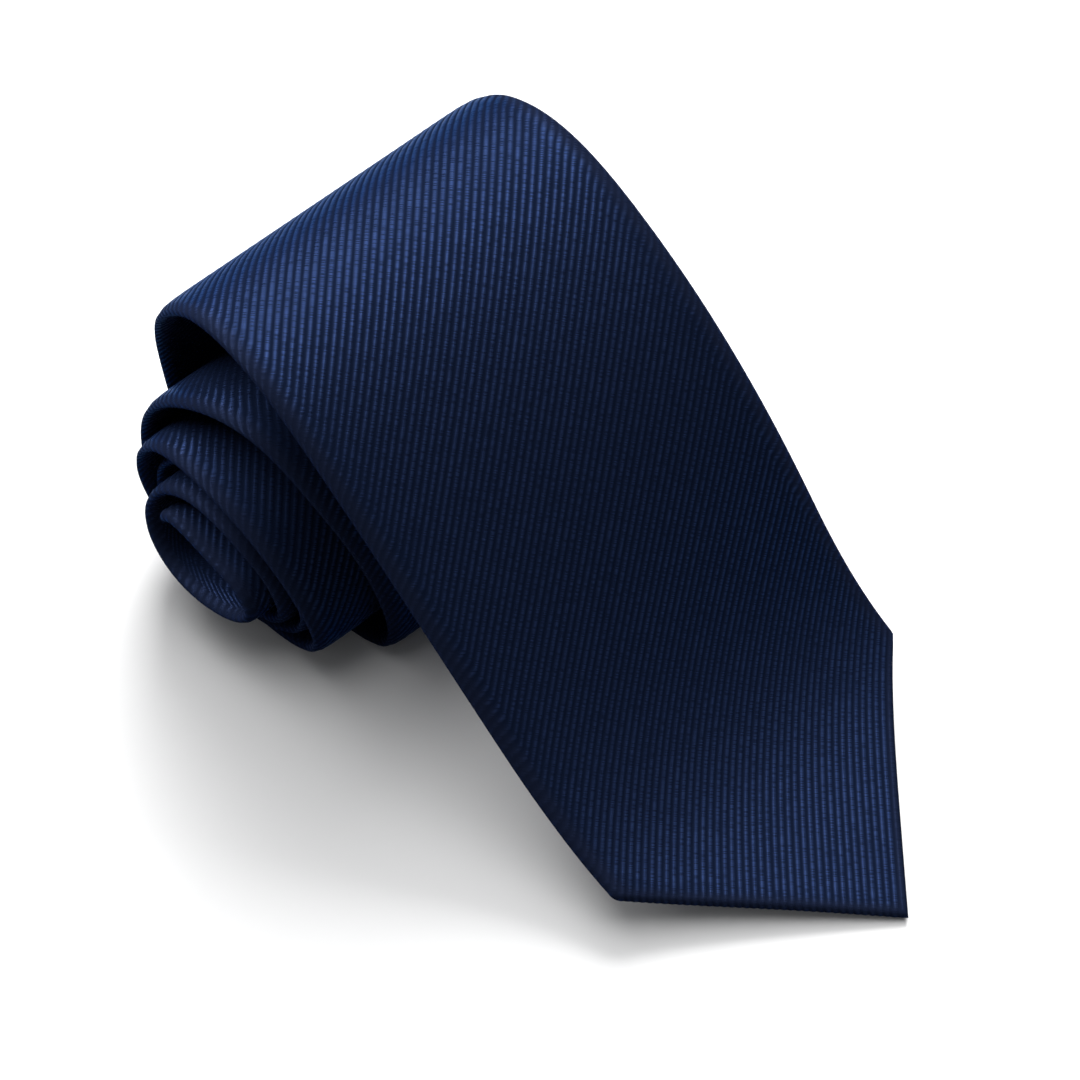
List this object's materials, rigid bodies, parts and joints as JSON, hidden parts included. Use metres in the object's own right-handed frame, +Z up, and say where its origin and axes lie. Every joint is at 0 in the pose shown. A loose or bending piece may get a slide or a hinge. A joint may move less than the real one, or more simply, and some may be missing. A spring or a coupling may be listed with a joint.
{
  "type": "necktie",
  "caption": "Lined necktie of ribbed cloth, rolled up from its tail and laid on its side, with the pointed wide blade running out from the top of the roll onto the table.",
  "frame": {"origin": "on the table, at the centre of the box round the whole tie", "axes": "+X along the roll's axis, from the end where the turns stand out of each other to the other end; +Y from the blade's point towards the roll; +Z up"},
  "size_m": [0.0989, 0.166, 0.0932],
  "materials": {
    "outer_cloth": "dark navy twill with a fine diagonal rib and a soft silky sheen",
    "interlining": "matt off-white brushed wool blend",
    "tipping": "smooth dark navy satin lining",
    "label_tape": "blank woven satin tape",
    "thread": "matt dark navy sewing thread"
  },
  "bodies": {
    "root": {"blade_shell": "outer_cloth", "neck_shell": "outer_cloth", "tail_shell": "outer_cloth", "keeper_loop": "outer_cloth", "interlining": "interlining", "blade_tipping": "tipping", "tail_tipping": "tipping", "blank_label": "label_tape", "slip_stitch": "thread", "blade_seam_thread": "thread", "tail_seam_thread": "thread", "blade_tipping_stitch_left": "thread", "blade_tipping_stitch_right": "thread", "tail_tipping_stitch_left": "thread", "tail_tipping_stitch_right": "thread", "blade_bar_tack": "thread", "tail_bar_tack": "thread", "keeper_loop_stitch_left": "thread", "keeper_loop_stitch_right": "thread", "blank_label_stitch_left": "thread", "blank_label_stitch_right": "thread"}
  },
  "joints": []
}
